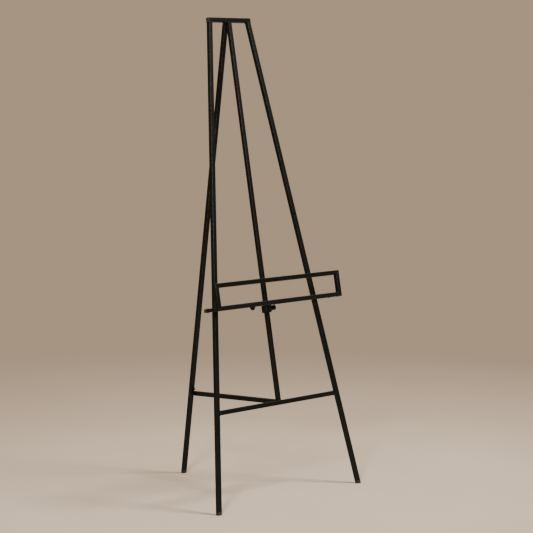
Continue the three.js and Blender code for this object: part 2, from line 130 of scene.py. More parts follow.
def square_outline(half_x, half_z, radius):
    """Points round a rectangle with round corners, as (x, z) pairs."""
    points = []
    for quarter, (side_x, side_z) in enumerate(((1, 1), (-1, 1), (-1, -1), (1, -1))):
        for step in range(CORNER_STEPS + 1):
            angle = (quarter + step / CORNER_STEPS) * math.pi / 2
            points.append((
                side_x * (half_x - radius) + radius * math.cos(angle),
                side_z * (half_z - radius) + radius * math.sin(angle)))
    return points


def bridge_rings(rings, closed=False):
    """Vertices and faces of a skin over rings of equal length. When closed, the last ring joins the
    first; otherwise both ends get a flat cap."""
    count = len(rings[0])
    vertices = [point for ring in rings for point in ring]
    faces = []
    bands = len(rings) if closed else len(rings) - 1
    for i in range(bands):
        near = i * count
        far = ((i + 1) % len(rings)) * count
        for j in range(count):
            k = (j + 1) % count
            faces.append((near + j, near + k, far + k, far + j))
    if not closed:
        last_ring = bands * count
        faces.append(tuple(range(count - 1, -1, -1)))
        faces.append(tuple(range(last_ring, last_ring + count)))
    return vertices, faces


def make_piece(name, rings, finish, body, sharp, closed=False):
    """A smooth skin over rings, riding on a body. Edges that turn more than sharp degrees stay crisp."""
    vertices, faces = bridge_rings(rings, closed)
    mesh = bpy.data.meshes.new(name)
    mesh.from_pydata([tuple(v) for v in vertices], [], faces)
    mesh.validate()
    clean = bmesh.new()
    clean.from_mesh(mesh)
    bmesh.ops.remove_doubles(clean, verts=clean.verts, dist=SAME_POINT)
    bmesh.ops.recalc_face_normals(clean, faces=clean.faces)
    clean.to_mesh(mesh)
    clean.free()
    return finish_piece(name, mesh, finish, body, sharp)


def finish_piece(name, mesh, finish, body, sharp):
    """The object for a mesh, with its shading, material and body."""
    mesh.shade_smooth()
    mesh.set_sharp_from_angle(angle=math.radians(sharp))
    mesh.materials.append(finish.material)
    piece = bpy.data.objects.new(name, mesh)
    bpy.context.scene.collection.objects.link(piece)
    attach(piece, body)
    return piece


# ---- Materials. Noise scales are in features per metre, and bump distances in metres. ----

# A material and the record slot that it belongs to.
Finish = namedtuple("Finish", "material slot")


class Nodes:
    """Shorthand for building a material's nodes."""

    def __init__(self, name):
        self.material = bpy.data.materials.new(name)
        self.material.use_nodes = True
        self.tree = self.material.node_tree
        self.shader = self.tree.nodes["Principled BSDF"]

    def add(self, kind, **settings):
        node = self.tree.nodes.new(kind)
        for key, value in settings.items():
            setattr(node, key, value)
        return node

    def link(self, output, target):
        self.tree.links.new(output, target)

    def surface(self, colour, roughness, normal):
        """Link the shader's colour, roughness and normal."""
        self.link(colour, self.shader.inputs["Base Color"])
        self.link(roughness, self.shader.inputs["Roughness"])
        self.link(normal, self.shader.inputs["Normal"])

    def place(self):
        return self.add("ShaderNodeTexCoord").outputs["Object"]

    def normal(self):
        return self.add("ShaderNodeNewGeometry").outputs["Normal"]

    def height_of(self, vector):
        """A vector's Z."""
        node = self.add("ShaderNodeSeparateXYZ")
        self.link(vector, node.inputs["Vector"])
        return node.outputs["Z"]

    def noise(self, scale, detail=2.0, roughness=0.5, stretch=None):
        node = self.add("ShaderNodeTexNoise")
        node.inputs["Scale"].default_value = scale
        node.inputs["Detail"].default_value = detail
        node.inputs["Roughness"].default_value = roughness
        source = self.place()
        if stretch:
            mapping = self.add("ShaderNodeMapping")
            mapping.inputs["Scale"].default_value = stretch
            self.link(source, mapping.inputs["Vector"])
            source = mapping.outputs["Vector"]
        self.link(source, node.inputs["Vector"])
        return node.outputs["Fac"]

    def ramp(self, value, low, high, to_low=0.0, to_high=1.0):
        """Take a value in low..high to to_low..to_high, and hold it at the ends."""
        node = self.add("ShaderNodeMapRange", clamp=True)
        self.link(value, node.inputs["Value"])
        sockets = ("From Min", "From Max", "To Min", "To Max")
        for socket, number in zip(sockets, (low, high, to_low, to_high)):
            node.inputs[socket].default_value = number
        return node.outputs["Result"]

    def wander(self, scale, detail, low=0.0, high=1.0):
        """A value that drifts between low and high over the surface."""
        return self.ramp(self.noise(scale, detail), 0.3, 0.7, low, high)

    def math(self, operation, first, second=None):
        node = self.add("ShaderNodeMath", operation=operation)
        for socket, value in zip(node.inputs, (first, second)):
            if isinstance(value, (int, float)):
                socket.default_value = value
            elif value is not None:
                self.link(value, socket)
        return node.outputs["Value"]

    def times(self, product, *factors):
        for factor in factors:
            product = self.math("MULTIPLY", product, factor)
        return product

    def mix(self, factor, first, second):
        node = self.add("ShaderNodeMix", data_type="RGBA")
        self.link(factor, node.inputs["Factor"])
        for socket, value in (("A", first), ("B", second)):
            target = [s for s in node.inputs if s.name == socket and s.type == "RGBA"][0]
            if isinstance(value, tuple):
                target.default_value = (*value, 1)
            else:
                self.link(value, target)
        return [s for s in node.outputs if s.type == "RGBA"][0]

    def bump(self, height, strength, distance, below=None):
        node = self.add("ShaderNodeBump")
        node.inputs["Strength"].default_value = strength
        node.inputs["Distance"].default_value = distance
        self.link(height, node.inputs["Height"])
        if below is not None:
            self.link(below, node.inputs["Normal"])
        return node.outputs["Normal"]


# The largest share of a normal along one of a tube's axes, on its flats and well round a corner.
ON_A_FLAT, ROUND_A_CORNER = 0.97, 0.82
# The corners' painted highlight, mixed with worn paint, grows between these heights in metres, from a
# quarter of its strength to all of it.
CORNER_HIGHLIGHT_FROM, CORNER_HIGHLIGHT_TO, LEAST_CORNER_HIGHLIGHT = 0.35, 1.1, 0.25
GLINT_TINT = (0.58, 0.84, 0.97, 1)       # the coat's own reflection is slightly cool
COAT_DEEP, COAT_PALE = (0.0023, 0.0029, 0.0033), (0.0040, 0.0048, 0.0052)
# Colour of the lighter corners: painted highlight mixed with worn paint.
COAT_RUBBED_AND_HIGHLIT = (0.085, 0.085, 0.080)
COAT_DUST = (0.13, 0.12, 0.105)


def corner_mask(nodes, tilt):
    """1 on the round corners of a tube whose faces stand at this tilt about X, 0 on its flats."""
    turn = nodes.add(
        "ShaderNodeVectorTransform", vector_type="NORMAL", convert_from="WORLD", convert_to="OBJECT")
    nodes.link(nodes.normal(), turn.inputs["Vector"])
    rotate = nodes.add("ShaderNodeVectorRotate", rotation_type="X_AXIS")
    rotate.inputs["Angle"].default_value = tilt
    nodes.link(turn.outputs["Vector"], rotate.inputs["Vector"])
    split = nodes.add("ShaderNodeSeparateXYZ")
    nodes.link(rotate.outputs["Vector"], split.inputs["Vector"])
    x, y, z = [nodes.math("ABSOLUTE", output) for output in split.outputs]
    largest = nodes.math("MAXIMUM", nodes.math("MAXIMUM", x, y), z)
    return nodes.ramp(largest, ON_A_FLAT, ROUND_A_CORNER)


def powder_coat(name, along=None):
    """Satin black powder coat: orange peel, faint mottling and dust on top faces. The tubes that run
    along a direction square to X also get lighter corners: a painted highlight that is strongest higher
    up, mixed with worn paint."""
    nodes = Nodes(name)
    shader = nodes.shader
    shader.inputs["Specular IOR Level"].default_value = 0.085
    shader.inputs["Specular Tint"].default_value = GLINT_TINT
    shader.inputs["Coat Weight"].default_value = 0.13
    shader.inputs["Coat Roughness"].default_value = 0.28
    mottle = nodes.ramp(nodes.noise(9, 3), 0.35, 0.7)
    colour = nodes.mix(mottle, COAT_DEEP, COAT_PALE)
    rough = nodes.wander(60, 3, 0.42, 0.54)
    if along is not None:
        # Lighter corners: a painted highlight along the tube corners, strongest higher up, mixed with
        # worn paint in a fine grain.
        grain = nodes.ramp(nodes.noise(170, 4, 0.7), 0.40, 0.60)
        height = nodes.height_of(nodes.place())
        highlight_by_height = nodes.ramp(height, CORNER_HIGHLIGHT_FROM, CORNER_HIGHLIGHT_TO, LEAST_CORNER_HIGHLIGHT)
        corners = corner_mask(nodes, math.atan2(along.y, along.z))
        rubbed_and_highlit = nodes.times(corners, grain, highlight_by_height)
        colour = nodes.mix(nodes.times(rubbed_and_highlit, 0.75), colour, COAT_RUBBED_AND_HIGHLIT)
        rough = nodes.math("SUBTRACT", rough, nodes.times(rubbed_and_highlit, 0.14))
    faces_up = nodes.ramp(nodes.height_of(nodes.normal()), 0.55, 1.0)
    specks = nodes.ramp(nodes.noise(420, 5, 0.7), 0.5, 0.75)
    colour = nodes.mix(nodes.times(faces_up, specks, 0.10), colour, COAT_DUST)
    peel = nodes.bump(nodes.noise(720, 2), 0.30, 0.00012)
    grit = nodes.bump(nodes.noise(2600, 1), 0.18, 0.00004, peel)
    nodes.surface(colour, rough, grit)
    return Finish(nodes.material, "black_powder_coat")


def weld_coat():
    """Powder coat over a weld bead: a little glossier, and drawn thin over the ripples."""
    nodes = Nodes("weld_coat")
    nodes.shader.inputs["Specular IOR Level"].default_value = 0.3
    thin = nodes.ramp(nodes.noise(240, 3), 0.4, 0.65)
    nodes.surface(
        nodes.mix(thin, (0.0025, 0.0030, 0.0033), (0.0062, 0.0067, 0.0070)),
        nodes.wander(300, 2, 0.34, 0.46),
        nodes.bump(nodes.noise(900, 3), 0.35, 0.00012))
    return Finish(nodes.material, "black_powder_coat")


def dark_steel():
    """Black-oxidised fastener steel with turning marks, worn bright in places."""
    nodes = Nodes("dark_steel")
    nodes.shader.inputs["Metallic"].default_value = 1.0
    worn = nodes.ramp(nodes.noise(380, 5, 0.65), 0.52, 0.70)
    turning_marks = nodes.noise(500, 2, stretch=(9, 1, 1))
    nodes.surface(
        nodes.mix(worn, (0.045, 0.045, 0.047), (0.17, 0.165, 0.16)),
        nodes.wander(900, 3, 0.28, 0.46),
        nodes.bump(turning_marks, 0.25, 0.00005))
    return Finish(nodes.material, "dark_steel")


def foot_rubber():
    """Moulded rubber: matt, faintly pitted, paler with floor dust towards its lower edge."""
    nodes = Nodes("foot_rubber")
    near_floor = nodes.ramp(nodes.height_of(nodes.place()), 0.007, 0.0005)
    scuffs = nodes.ramp(nodes.noise(520, 5, 0.7), 0.42, 0.68)
    dust = nodes.times(near_floor, scuffs, 0.25)
    clean = nodes.mix(nodes.wander(130, 3), (0.0050, 0.0054, 0.0056), (0.0080, 0.0084, 0.0086))
    nodes.surface(
        nodes.mix(dust, clean, (0.11, 0.10, 0.088)),
        nodes.wander(350, 3, 0.62, 0.82),
        nodes.bump(nodes.noise(1700, 4), 0.4, 0.00009))
    return Finish(nodes.material, "foot_rubber")


def cap_plastic():
    """Injection-moulded end plugs with a fine spark-eroded grain."""
    nodes = Nodes("cap_plastic")
    nodes.surface(
        nodes.mix(nodes.wander(90, 2), (0.0085, 0.0085, 0.0085), (0.0125, 0.0122, 0.0120)),
        nodes.wander(700, 3, 0.46, 0.6),
        nodes.bump(nodes.noise(2900, 3), 0.5, 0.00006))
    return Finish(nodes.material, "cap_plastic")


def black_nylon():
    """Smooth moulded nylon for the liner, spacers and pad, with light sliding marks."""
    nodes = Nodes("black_nylon")
    marks = nodes.ramp(nodes.noise(240, 4, 0.6, stretch=(4, 1, 0.4)), 0.5, 0.72)
    nodes.surface(
        nodes.mix(marks, (0.012, 0.012, 0.012), (0.032, 0.031, 0.030)),
        nodes.ramp(marks, 0.0, 1.0, 0.34, 0.5),
        nodes.bump(nodes.noise(1100, 2), 0.15, 0.00005))
    return Finish(nodes.material, "black_nylon")


REAR_HINGE = Vector(JOINTS["rear_leg_fold"]["pos_m"])
STAY_HINGE = Vector(JOINTS["stay_fold"]["pos_m"])
REAR_DIRECTION = side_direction(centre_of("rear_foot_cap"), REAR_HINGE)
STAY_DIRECTION = side_direction(STAY_HINGE, centre_of("stay_pin"))

COAT = powder_coat("powder_coat_front", RISE)
COAT_REAR = powder_coat("powder_coat_rear", REAR_DIRECTION)
COAT_STAY = powder_coat("powder_coat_stay", STAY_DIRECTION)
COAT_ROUND = powder_coat("powder_coat_round")
WELD = weld_coat()
STEEL = dark_steel()
RUBBER = foot_rubber()
PLASTIC = cap_plastic()
NYLON = black_nylon()


# ---- Tubes ----

def long_direction(points):
    """Roughly the direction in which the points are most spread."""
    spread = points.max(axis=0) - points.min(axis=0)
    _, _, axes = np.linalg.svd(points - points.mean(axis=0), full_matrices=False)
    return axes[0] * np.sign(axes[0][np.argmax(spread)])


def middle_of(points):
    """The middle of a ring of vertices, with each place counted once."""
    return Vector(np.unique(np.round(points, 7), axis=0).mean(axis=0))


def end_plane(ring):
    """The plane y = a + b x + c z through the vertices of one end, as (a, b, c)."""
    terms = np.column_stack([np.ones(len(ring)), ring[:, 0], ring[:, 2]])
    return np.linalg.lstsq(terms, ring[:, 1], rcond=None)[0]


class TubeShape:
    """The axes, section and end planes of a straight CAD tube, which runs along y."""

    def __init__(self, node, facing):
        points = node_points(node)
        along = points @ np.array(long_direction(points))
        halfway = (along.min() + along.max()) / 2
        start, end = middle_of(points[along < halfway]), middle_of(points[along >= halfway])
        local = self.set_axes(start, end, facing, points)
        near = local[:, 1] < (end - start).length / 2
        self.planes = [end_plane(local[near]), end_plane(local[~near])]

    def set_axes(self, start, end, facing, points):
        """Fix the axes and measure the section on the points, which come back in those axes."""
        self.start = start
        self.y = (end - start).normalized()
        self.z = square_to(self.y, facing)
        self.x = self.y.cross(self.z)
        local = local_points(points, start, [self.x, self.y, self.z])
        self.half_x = np.abs(local[:, 0]).max()
        self.half_z = np.abs(local[:, 2]).max()
        return local

    def end_point(self, end, x, z, inset=0.0):
        """The point of an end plane at (x, z), moved into the tube by inset."""
        a, b, c = self.planes[end]
        inward = 1 if end == 0 else -1
        y = a + b * x + c * z + inward * inset
        return self.start + self.x * x + self.y * y + self.z * z

    def ring(self, end, grow=0.0, inset=0.0):
        """A ring round the section, lying in an end plane and moved into the tube by inset."""
        outline = square_outline(self.half_x + grow, self.half_z + grow, CORNER + grow)
        return [self.end_point(end, x, z, inset) for x, z in outline]


class RearLegShape(TubeShape):
    """The rear leg's section and lower end. Its slotted top is left to the refined CAD node."""

    LOWER_END = 0.1            # the lower end's vertices are below this height

    def __init__(self):
        points = node_points("rear_leg")
        lower = points[points[:, 2] < self.LOWER_END]
        start = middle_of(lower)
        start.x = 0.0
        hinge = Vector((0, REAR_HINGE.y, REAR_HINGE.z))
        self.planes = [end_plane(self.set_axes(start, hinge, FRONT, lower))]


def fine_tube(node, facing, body):
    """The tube at full smoothness, with its cut edges just broken. Gives back its shape."""
    shape = TubeShape(node, facing)
    ends = []
    for end in (0, 1):
        rings = []
        for step in range(EDGE_STEPS + 1):
            angle = step / EDGE_STEPS * math.pi / 2
            grow, inset = -EDGE * (1 - math.sin(angle)), EDGE * (1 - math.cos(angle))
            rings.append(shape.ring(end, grow, inset))
        ends.append(rings)
    piece = make_piece(f"{node}_tube", ends[0] + ends[1][::-1], COAT, body, sharp=45)
    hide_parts(node)
    return shape


FLAT_ANGLE = math.radians(2)     # faces that meet at less than this are one flat face
HARD_ANGLE = math.radians(38)    # and edges that turn more than this are broken


def refine(node, finish, body, width=0.25 * MM):
    """A CAD node with its flat faces made whole and its hard edges softly broken."""
    shape = bmesh.new()
    shape.from_mesh(frame["nodes"][node].data)
    bmesh.ops.remove_doubles(shape, verts=shape.verts, dist=SAME_POINT)
    bmesh.ops.dissolve_limit(shape, angle_limit=FLAT_ANGLE, verts=shape.verts, edges=shape.edges)
    hard = [
        edge for edge in shape.edges
        if len(edge.link_faces) == 2 and edge.calc_face_angle(0) > HARD_ANGLE]
    bmesh.ops.bevel(
        shape, geom=hard, offset=width, offset_type="OFFSET", segments=2, profile=0.5,
        affect="EDGES", clamp_overlap=True)
    mesh = bpy.data.meshes.new(f"{node}_body")
    shape.to_mesh(mesh)
    shape.free()
    piece = finish_piece(f"{node}_body", mesh, finish, body, sharp=30)
    even = piece.modifiers.new("even_normals", "WEIGHTED_NORMAL")
    even.keep_sharp = True
    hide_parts(node)


# ---- Sweeps: weld beads, ground seams and the peg ----

RIPPLE = 1.7 * MM          # pitch of a weld bead's ripples
RIPPLE_POINTS = 5
# Slow changes of a bead's width: share of the radius, radians per metre, start in radians.
BEAD_DRIFT = ((0.05, 730, 0.0), (0.04, 1910, 1.0))
FRAME_BEAD = 1.25 * MM     # bead radius at the frame's tubes
ARM_BEAD = 1.0 * MM
TAB_BEAD = 1.0 * MM
PLATE_BEAD = 1.1 * MM
PEG_BEAD = 0.9 * MM
SMALL_BEAD = 0.8 * MM
SEAM = 0.42 * MM           # radius of a ground seam's band


def sweep_rings(path, radius, closed, sides=10, flat=None):
    """Circles along a path. radius is a number, or a function of the distance along the path."""
    count = len(path)
    rings = []
    distance = 0.0
    side = None
    for i, point in enumerate(path):
        before = path[(i - 1) % count] if closed or i > 0 else point
        after = path[(i + 1) % count] if closed or i < count - 1 else point
        tangent = (after - before).normalized()
        if flat is not None:
            side = flat.cross(tangent).normalized()
        elif side is None:
            side = tangent.orthogonal().normalized()
        else:
            side = square_to(tangent, side)
        size = radius(distance) if callable(radius) else radius
        rings.append(circle(point, side * size, tangent.cross(side) * size, sides))
        distance += (after - point).length
    return rings


def resample(path, gap, closed):
    """The same path with points an even distance apart."""
    points = list(path) + ([path[0]] if closed else [])
    lengths = [0.0]
    for a, b in zip(points, points[1:]):
        lengths.append(lengths[-1] + (b - a).length)
    steps = max(3, round(lengths[-1] / gap))
    even = []
    segment = 0
    for i in range(steps if closed else steps + 1):
        wanted = lengths[-1] * i / steps
        while segment < len(points) - 2 and lengths[segment + 1] < wanted:
            segment += 1
        span = lengths[segment + 1] - lengths[segment] or 1.0
        even.append(points[segment].lerp(points[segment + 1], (wanted - lengths[segment]) / span))
    return even


def weld(name, path, radius, body, closed=True, flat=None):
    """A weld bead along a path, with the ripples that its puddle leaves."""
    fine = resample(path, RIPPLE / RIPPLE_POINTS, closed)

    def size(distance):
        phase = (distance / RIPPLE) % 1.0
        drift = sum(share * math.sin(distance * rate + start) for share, rate, start in BEAD_DRIFT)
        return radius * (0.94 + 0.13 * math.sqrt(phase) + drift)

    rings = sweep_rings(fine, size, closed, flat=flat)
    make_piece(name, rings, WELD, body, ALL_SMOOTH, closed)


def ground_seam(bar, node, body):
    """The weld of the mitre at a bar's far end, ground nearly flush: a low band round the section."""
    fine = resample(bar.ring(1, grow=-0.25 * MM), 0.9 * MM, True)

    def size(distance):
        return SEAM * (1 + 0.10 * math.sin(distance * 900))

    rings = sweep_rings(fine, size, True, sides=8)
    make_piece(f"{node}_seam", rings, WELD, body, ALL_SMOOTH, closed=True)


# ---- Turned pieces ----

ACROSS = RIGHT.orthogonal().normalized()
BOLT_RADIUS = 2.5 * MM
BOLT_HEAD = 3.0 * MM       # height of the button head
BOLT_PITCH = 0.8 * MM
PIN_RADIUS = 3.0 * MM      # of the stay's pin and of the clamp's screw
SCREW_PITCH = 1.0 * MM
SLACK = 0.05 * MM          # between a bore and its bolt or pin
CENTRE = 0.3 * MM          # radius at which a turned end closes with a flat


def turned(node, profile, base, finish, body, segments=48, sharp=35, start=ACROSS, bored=False,
           name=None):
    """A piece turned about the sideways axis through base, in place of a CAD node. The profile lists
    (radius, x) or (radius, x, flats): with flats, the ring is a hexagon that far across, cut off at
    the radius. The profile of a bored piece closes on itself."""
    second = RIGHT.cross(start)
    rings = []
    for radius, x, *flats in profile:
        ring = []
        for angle in turn_angles(segments):
            reach = min(radius, hexagon_reach(angle, flats[0])) if flats else radius
            outward = start * math.cos(angle) + second * math.sin(angle)
            ring.append(base + RIGHT * x + outward * reach)
        rings.append(ring)
    piece = make_piece(name or f"{node}_turned", rings, finish, body, sharp, closed=bored)
    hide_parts(node)


def bolt_profile(low, high, thread_start):
    """A button head with a hex socket at x = low, then a shank threaded from thread_start."""
    seat = low + BOLT_HEAD
    profile = [
        (1.0 * MM, low + 1.8 * MM, 2.9 * MM), (1.7 * MM, low + 1.7 * MM, 3.0 * MM),
        (1.75 * MM, low + 0.15 * MM, 3.0 * MM), (2.0 * MM, low), (2.5 * MM, low + 0.08 * MM),
        (3.3 * MM, low + 0.6 * MM), (4.0 * MM, low + 1.4 * MM), (4.4 * MM, low + 2.3 * MM),
        (4.45 * MM, seat - 0.15 * MM), (4.3 * MM, seat), (BOLT_RADIUS, seat)]
    x = thread_start
    while x < high - 0.5 * MM:
        profile += [(BOLT_RADIUS, x), (BOLT_RADIUS - 0.28 * MM, x + BOLT_PITCH / 2)]
        x += BOLT_PITCH
    return profile + [(BOLT_RADIUS - 0.5 * MM, high), (0.4 * MM, high)]


def lock_nut_profile(low, high, bore):
    """A hexagon nut with a round collar over its nylon ring, at x = high."""
    flats = 8 * MM
    wide = 4.62 * MM
    return [
        (bore, low + 0.3 * MM), (bore + 0.3 * MM, low), (4.0 * MM, low),
        (wide, low + 0.35 * MM, flats), (wide, high - 1.2 * MM, flats),
        (4.0 * MM, high - 0.85 * MM), (3.75 * MM, high - 0.75 * MM), (3.6 * MM, high - 0.1 * MM),
        (3.4 * MM, high), (3.0 * MM, high), (2.9 * MM, high - 0.35 * MM), (bore, high - 0.35 * MM)]


def spacer_profile(low, high, bore, outer):
    """A plain ring with its four edges broken."""
    edge = 0.3 * MM
    return [
        (bore, low + edge), (bore + edge, low), (outer - edge, low), (outer, low + edge),
        (outer, high - edge), (outer - edge, high), (bore + edge, high), (bore, high - edge)]


def bolt_set(prefix, body):
    """A hinge's button-head bolt, its lock nut and the two spacers."""
    nut = f"{prefix}_nut"
    base = sideways_axis(nut)
    bore = BOLT_RADIUS + SLACK
    low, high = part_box(f"{prefix}_bolt")
    bolt = bolt_profile(low.x, high.x, centre_of(nut).x)
    turned(f"{prefix}_bolt", bolt, base, STEEL, body, sharp=40, start=RISE)
    low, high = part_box(nut)
    turned(nut, lock_nut_profile(low.x, high.x, bore), base, STEEL, body, start=RISE, bored=True)
    for side in ("left", "right"):
        spacer = f"{prefix}_{side}_spacer"
        low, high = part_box(spacer)
        profile = spacer_profile(low.x, high.x, bore, (high.y - low.y) / 2)
        turned(spacer, profile, base, NYLON, body, start=RISE, bored=True)


# ---- Caps and plugs ----

# Rows of a foot cap: share of its height above the floor, growth of the section in mm, corner in mm.
FOOT_CAP_ROWS = (
    (0.0, -1.5, 1.6), (0.012, -0.95, 1.8), (0.045, -0.45, 2.0), (0.10, -0.1, 2.2), (0.17, 0.05, 2.3),
    (0.70, 0.0, 2.0), (0.72, -0.35, 1.8), (0.78, -0.35, 1.8), (0.80, 0.05, 2.0), (0.955, 0.05, 2.0),
    (0.985, -0.1, 1.9), (1.0, -0.5, 1.6))
FOOT_CAP_GAP = 0.25 * MM   # between the cap's shoulder and the end of its tube


def foot_cap(node, leg, body):
    """A moulded cap: a block with soft edges, a parting groove and a shoulder against the tube."""
    floor = node_points(node)[:, 2].min()
    rings = []
    for share, grow, corner in FOOT_CAP_ROWS:
        ring = []
        for x, z in square_outline(leg.half_x + grow * MM, leg.half_z + grow * MM, corner * MM):
            top = leg.end_point(0, x, z)
            length = (top.z - floor) / leg.y.z - FOOT_CAP_GAP
            ring.append(top - leg.y * (length * (1 - share) + FOOT_CAP_GAP))
        rings.append(ring)
    for point in rings[0]:
        point.z = floor
    piece = make_piece(f"{node}_moulding", rings, RUBBER, body, sharp=50)
    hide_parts(node)


def end_plug(node, direction, facing, dome, body):
    """A push-in plug: only its face shows, with a small step at the tube and a crown that rises to
    a little under half of dome."""
    centre = centre_of(node)
    y = direction.normalized()
    z = square_to(y, facing)
    x = y.cross(z)
    local = local_points(node_points(node), centre, [x, y, z])
    low, high = local[:, 1].min(), local[:, 1].max()
    shoulder = sorted(set(np.round(local[:, 1], 5)))[1]
    face = local[local[:, 1] > high - 0.1 * MM]
    stub = local[local[:, 1] < low + 0.1 * MM]
    off_x, _, off_z = (face.max(axis=0) + face.min(axis=0)) / 2
    half_x, _, half_z = (face.max(axis=0) - face.min(axis=0)) / 2
    stub_x, _, stub_z = (stub.max(axis=0) - stub.min(axis=0)) / 2
    stub_corner = 0.8 * MM
    rows = (
        (stub_x - 0.4 * MM, stub_z - 0.4 * MM, 0.7 * MM, low),
        (stub_x, stub_z, stub_corner, low + 0.5 * MM),
        (stub_x, stub_z, stub_corner, shoulder),
        (half_x - 0.25 * MM, half_z - 0.25 * MM, CORNER, shoulder),
        (half_x, half_z, CORNER, shoulder + 0.25 * MM),
        (half_x, half_z, CORNER, high - 0.7 * MM),
        (half_x - 0.2 * MM, half_z - 0.2 * MM, CORNER, high - 0.3 * MM),
        (half_x - 0.7 * MM, half_z - 0.7 * MM, CORNER, high),
        (half_x * 0.6, half_z * 0.6, CORNER * 0.6, high + dome * 0.3),
        (half_x * 0.2, half_z * 0.2, CORNER * 0.2, high + dome * 0.45))
    rings = []
    for reach_x, reach_z, radius, along in rows:
        outline = square_outline(reach_x, reach_z, radius)
        rings.append([
            centre + x * (off_x + px) + y * along + z * (off_z + pz) for px, pz in outline])
    piece = make_piece(f"{node}_moulding", rings, PLASTIC, body, sharp=50)
    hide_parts(node)


# ---- Front frame ----

def build_front_frame():
    body = "front_frame"
    legs = {side: fine_tube(f"{side}_leg", OUT, body) for side in ("left", "right")}
    fine_tube("top_bar", OUT, body)
    post = fine_tube("centre_post", OUT, body)
    crossbar = fine_tube("crossbar", OUT, body)
    for end, side in ((0, "left"), (1, "right")):
        weld(f"{side}_leg_head_weld", legs[side].ring(1, grow=0.2 * MM), FRAME_BEAD, body)
        weld(f"crossbar_{side}_weld", crossbar.ring(end, grow=0.25 * MM), FRAME_BEAD, body)
    weld("post_foot_weld", post.ring(0, grow=0.2 * MM), FRAME_BEAD, body)
    weld("post_head_weld", post.ring(1, grow=0.2 * MM), FRAME_BEAD, body)
    for node in ("rear_leg_hinge_tab", "stay_hinge_tab"):
        refine(node, COAT, body, width=0.3 * MM)
        tab_welds(node, body)
    for side, direction in (("left", -RIGHT), ("right", RIGHT)):
        foot_cap(f"{side}_foot_cap", legs[side], body)
        end_plug(f"top_bar_{side}_plug", direction, OUT, 0.5 * MM, body)


def tab_welds(node, body):
    """A bead down each side of a tab where it meets the back of its bar."""
    points = node_points(node)
    out = points @ np.array(OUT)
    root = points[out > out.max() - 0.2 * MM]
    rises = root @ np.array(RISE)
    low, high = rises.min(), rises.max()
    reach = (high - low) / 2 - 0.8 * MM
    half = (root[:, 0].max() - root[:, 0].min()) / 2
    middle = Vector(root.mean(axis=0))
    middle += RISE * ((low + high) / 2 - middle.dot(RISE)) + OUT * 0.1 * MM
    for label, side in (("left", -1), ("right", 1)):
        foot = middle + RIGHT * side * (half + 0.35 * MM)
        path = [foot - RISE * reach, foot + RISE * reach]
        weld(f"{node}_{label}_weld", path, TAB_BEAD, body, closed=False, flat=OUT)


# ---- Rear leg and stay ----

def build_rear_leg():
    body = "rear_leg_assembly"
    refine("rear_leg", COAT_REAR, body)
    leg = RearLegShape()
    foot_cap("rear_foot_cap", leg, body)
    bolt_set("rear_leg_hinge", body)
    stay_pin(body)
    build_peg(body, leg)


def stay_pin(body):
    """The headed pin that the stay drops on to, and its push-on retainer."""
    low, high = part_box("stay_pin")
    head, end = low.x, high.x
    base = sideways_axis("stay_pin")
    groove = PIN_RADIUS - 0.25 * MM
    pin = [
        (0.6 * MM, head + 0.1 * MM), (3.6 * MM, head), (4.5 * MM, head + 0.25 * MM),
        (4.9 * MM, head + 0.8 * MM), (5.0 * MM, head + 1.4 * MM), (4.9 * MM, head + 2.0 * MM),
        (PIN_RADIUS, head + 2.0 * MM), (PIN_RADIUS, end - 3.4 * MM), (groove, end - 3.3 * MM),
        (groove, end - 2.6 * MM), (PIN_RADIUS, end - 2.5 * MM), (PIN_RADIUS, end - 0.7 * MM),
        (PIN_RADIUS - 0.2 * MM, end - 0.25 * MM), (PIN_RADIUS - 0.7 * MM, end), (CENTRE, end)]
    turned("stay_pin", pin, base, STEEL, body)
    low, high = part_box("stay_pin_retainer")
    outer = (high.y - low.y) / 2
    bore = PIN_RADIUS + SLACK
    cap = [
        (bore, low.x + 0.2 * MM), (bore + 0.5 * MM, low.x), (outer - 0.8 * MM, low.x),
        (outer, low.x + 0.5 * MM), (outer, high.x - 0.9 * MM), (outer - 0.9 * MM, high.x),
        (bore + 0.4 * MM, high.x), (bore, high.x - 0.3 * MM)]
    turned("stay_pin_retainer", cap, base, STEEL, body, start=UP, bored=True)


PEG_STEPS = 14             # along the peg's bend
PEG_TIP_STEPS = 6          # over its rounded tip


def build_peg(body, leg):
    """The bent peg on the front of the rear leg, with its weld."""
    points = node_points("leg_peg")
    ahead = points @ np.array(leg.z)
    heights = points @ np.array(leg.y)
    wire = (points[:, 0].max() - points[:, 0].min()) / 2
    root = Vector(points[ahead < ahead.min() + 0.3 * MM].mean(axis=0)) - leg.z * 0.6 * MM
    tip = Vector(points[heights < heights.min() + 3.5 * MM].mean(axis=0))
    bend = root + leg.z * (tip - root).dot(leg.z) * 0.55
    path = []
    for k in range(PEG_STEPS + 1):
        t = k / PEG_STEPS
        path.append(root * (1 - t) ** 2 + bend * 2 * t * (1 - t) + tip * t ** 2)
    rings = sweep_rings(path, wire, False, sides=20)
    end, last = path[-1], rings[-1]
    tangent = (end - path[-2]).normalized()
    for k in range(1, PEG_TIP_STEPS):
        angle = k / PEG_TIP_STEPS * math.pi / 2
        centre = end + tangent * wire * 0.5 * math.sin(angle)
        rings.append([centre + (point - end) * math.cos(angle) for point in last])
    peg = make_piece("leg_peg_rod", rings, COAT_ROUND, body, sharp=60)
    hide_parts("leg_peg")
    reach = wire + 0.4 * MM
    ring = circle(root + leg.z * 1.0 * MM, leg.x * reach, leg.y * reach, 32)
    weld("leg_peg_weld", ring, PEG_BEAD, body)


def build_stay():
    body = "stay_assembly"
    refine("stay", COAT_STAY, body)
    bolt_set("stay_hinge", body)
    end_plug("stay_end_plug", STAY_DIRECTION, UP, 0.5 * MM, body)


# ---- Ledge ----

